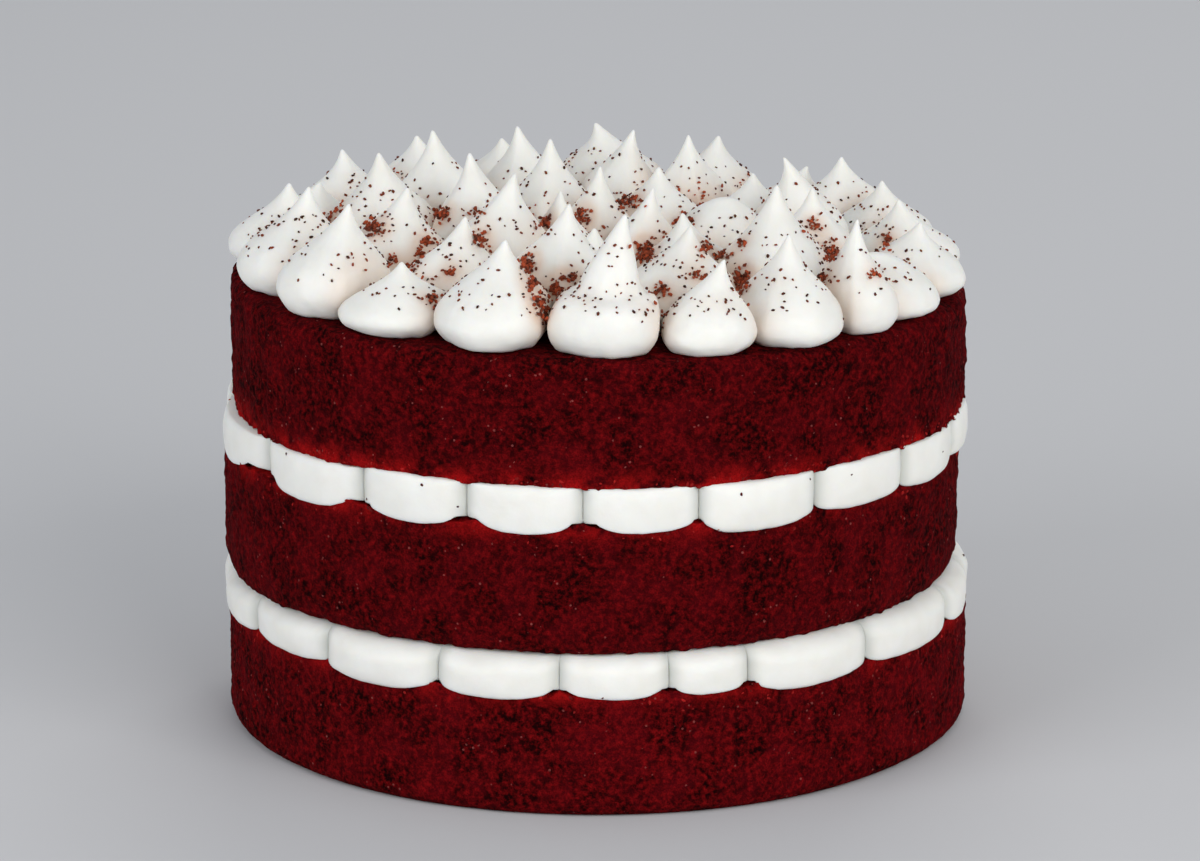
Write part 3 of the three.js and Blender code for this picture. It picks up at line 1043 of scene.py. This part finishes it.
def drop_heap(middle, along, across, count, shades):
    """Lets crumbs fall round a place: how far they spread each way, how many, and their shades."""
    for _ in range(count):
        flat = middle + along * chance.gauss(0, 1) + across * chance.gauss(0, 1)
        landing = land_on_crown(*flat)
        if landing is None or landing[1].z < 0.02 or np.hypot(*flat) > heap_reach:
            continue
        size = chance.choice(heap_sizes)
        place = landing[0] + landing[1] * size * chance.uniform(0.1, 0.6)
        if holds_crumb(place, size):
            landings.append((place, landing[1], size, 1.5, chance.uniform(*shades)))


def land_in_view(picture_x, picture_y):
    """Where the camera sees the crown at a point of the picture, or None where it misses."""
    pixel = sensor_width / camera_lens / picture_size[0]
    right = (picture_x - picture_size[0] / 2) * pixel
    up = (picture_size[1] / 2 - picture_y) * pixel
    return first_hit(crown, camera_place, camera_turn.to_matrix() @ Vector((right, up, -1)))


def find_pit(name, first, second):
    """Where a kiss's borders with two others cross, or None where a fourth kiss lies nearer."""
    directions = np.array([first[0], second[0]])
    if abs(np.linalg.det(directions)) < 0.2:
        return None
    offset = np.linalg.solve(directions, [first[1], second[1]])
    if any(offset @ towards > reach + 0.001 for towards, reach, _ in borders_of[name]):
        return None
    return kisses[name]["foot"][:2] + offset


for name, borders in borders_of.items():
    for towards, reach, other in borders:
        if name > other:
            continue
        sideways = np.array((-towards[1], towards[0]))
        middle = kisses[name]["foot"][:2] + towards * reach
        drop_heap(middle, sideways * border_length, towards * border_width, border_heap, (0.1, 0.7))
    for first in borders:
        for second in borders:
            met = [border[2] for border in borders_of[first[2]]]
            if not name < first[2] < second[2] or second[2] not in met:
                continue
            pit = find_pit(name, first, second)
            if pit is not None and pit[1] > first_pit:
                heap = chance.choice(pit_heaps)
                drop_heap(pit, np.array((pit_width, 0)), np.array((0, pit_width)), heap, (0.35, 1.0))

# The heaps that show from the front cling to the slopes of the kisses behind them.
for heap_x, heap_y, wide, tall, count in shown_heaps:
    for _ in range(count):
        crumb_x = chance.gauss(heap_x, wide * shown_spread)
        landing = land_in_view(crumb_x, chance.gauss(heap_y, tall * shown_spread))
        size = chance.choice(shown_sizes)
        if landing is None:
            continue
        place = landing[0] + landing[1] * size * chance.uniform(0.1, 0.6)
        if tips.find(place)[2] > shown_clean_tip and fits(place, size * 0.6):
            landings.append((place, landing[1], size, 1.5, chance.uniform(0.05, 0.85)))

# A line of crumbs lies on the ledge of the stepped kiss.
ledge_crumbs = 9
ledge_reach = 0.0102
stepped_foot = kisses["kiss_rim_06"]["foot"]
for _ in range(ledge_crumbs):
    angle = chance.uniform(-1.3, 1.3)
    distance = chance.gauss(ledge_reach, 0.0005)
    across = stepped_foot[0] + distance * math.sin(angle)
    landing = land_on_crown(across, stepped_foot[1] - distance * math.cos(angle))
    if landing is not None:
        landings.append((*landing, chance.choice(few_sizes), 0.8, chance.uniform(0, 0.4)))

scattered_finish = crumb_finish("scattered_finish", (0.032, 0.014, 0.010), (0.40, 0.070, 0.026))
scattered = scatter("scattered_crumbs", landings, scattered_finish)
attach(scattered, "root")

# Cream takes up a little red where crumbs lie close together on it, and a warm shade is painted on it where
# kisses meet.
stain_search = 0.006
stain_width = 0.0033  # how far from a crumb it stains
stain_start = 2.0  # fewer crumbs leave no stain
stain_per_crumb = 0.028
# how far the painted warm shade reaches from where kisses meet
meeting_shade_width = 0.0035
near_crumbs = KDTree(len(landings))
for index, landing in enumerate(landings):
    near_crumbs.insert(landing[0], index)
near_crumbs.balance()
for (name, kiss), piece in zip(kisses.items(), kiss_pieces):
    places = vertex_places(piece)
    flat = (places - kiss["foot"])[:, :2]
    met = np.zeros(len(places))
    if borders_of[name]:
        gaps = [reach - flat @ towards for towards, reach, _ in borders_of[name]]
        # painted shade, strongest where this kiss meets another
        met = np.exp(-((np.clip(np.min(gaps, axis=0), 0, None) / meeting_shade_width) ** 2))
    crumbs = []
    for vertex in piece.data.vertices:
        near = near_crumbs.find_range(vertex.co, stain_search)
        crumbs.append(sum(math.exp(-((distance / stain_width) ** 2)) for _, _, distance in near))
    soaked = np.clip((np.array(crumbs) - stain_start) * stain_per_crumb, 0, 0.42)
    # the stain from crumbs, plus painted warm shade where kisses meet
    paint_vertices(piece, "stain_and_shade", np.clip(soaked + met * 0.23, 0, 0.5))

# Crumbs that cling to the torn edges, and a few that stick to the fillings between them.
torn_edges = ((0.0318, 0.0017, 150), (0.0760, 0.0017, 170), (0.0892, 0.0012, 280))  # height, spread, count
filling_fronts = ((0.036, 0.042, 7), (0.080, 0.087, 16))  # lowest, highest, count
edge_sizes = (0.0007, 0.0009, 0.0012, 0.0016)
throw_distance = 0.13
cake_side = surface_of([bottom_sponge, lower_filling, middle_sponge, upper_filling, top_sponge])
cream_side = surface_of([lower_filling, upper_filling])


def land_on_side(angle, height):
    """Where a crumb thrown at the cake's side sticks, its outward direction, and whether on cream."""
    outside = Vector((throw_distance * math.sin(angle), -throw_distance * math.cos(angle), height))
    inwards = Vector((-outside.x, -outside.y, 0)).normalized()
    landing = first_hit(cake_side, outside, inwards)
    cream = first_hit(cream_side, outside, inwards)
    if landing is None:
        return None
    return *landing, cream is not None and (cream[0] - landing[0]).length < same_place


clinging = []
for edge_height, spread_up, count in torn_edges:
    for _ in range(count):
        angle = chance.uniform(0, full_turn)
        landing = land_on_side(angle, edge_height + chance.gauss(0, spread_up))
        size = chance.choice(edge_sizes)
        seldom = chance.random()
        if landing is None or not fits(landing[0], size * 0.6):
            continue
        place, outwards, on_cream = landing
        # Only a few small ones stay on the cream beside an edge.
        if on_cream and (seldom > 0.15 or size > 0.001):
            continue
        clinging.append((place - outwards * size * 0.1, outwards, size, 1.5, chance.uniform(0.1, 0.8)))
for low, high, count in filling_fronts:
    for _ in range(count):
        angle = chance.uniform(0, full_turn)
        landing = land_on_side(angle, chance.uniform(low, high))
        size = chance.choice(few_sizes)
        if landing is not None and fits(landing[0], size * 0.6):
            clinging.append((landing[0], landing[1], size, 0.5, 0))
edge_finish = crumb_finish("edge_crumb_finish", (0.05, 0.003, 0.003), (0.36, 0.010, 0.009))
clung = scatter("edge_crumbs", clinging, edge_finish)
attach(clung, "root")
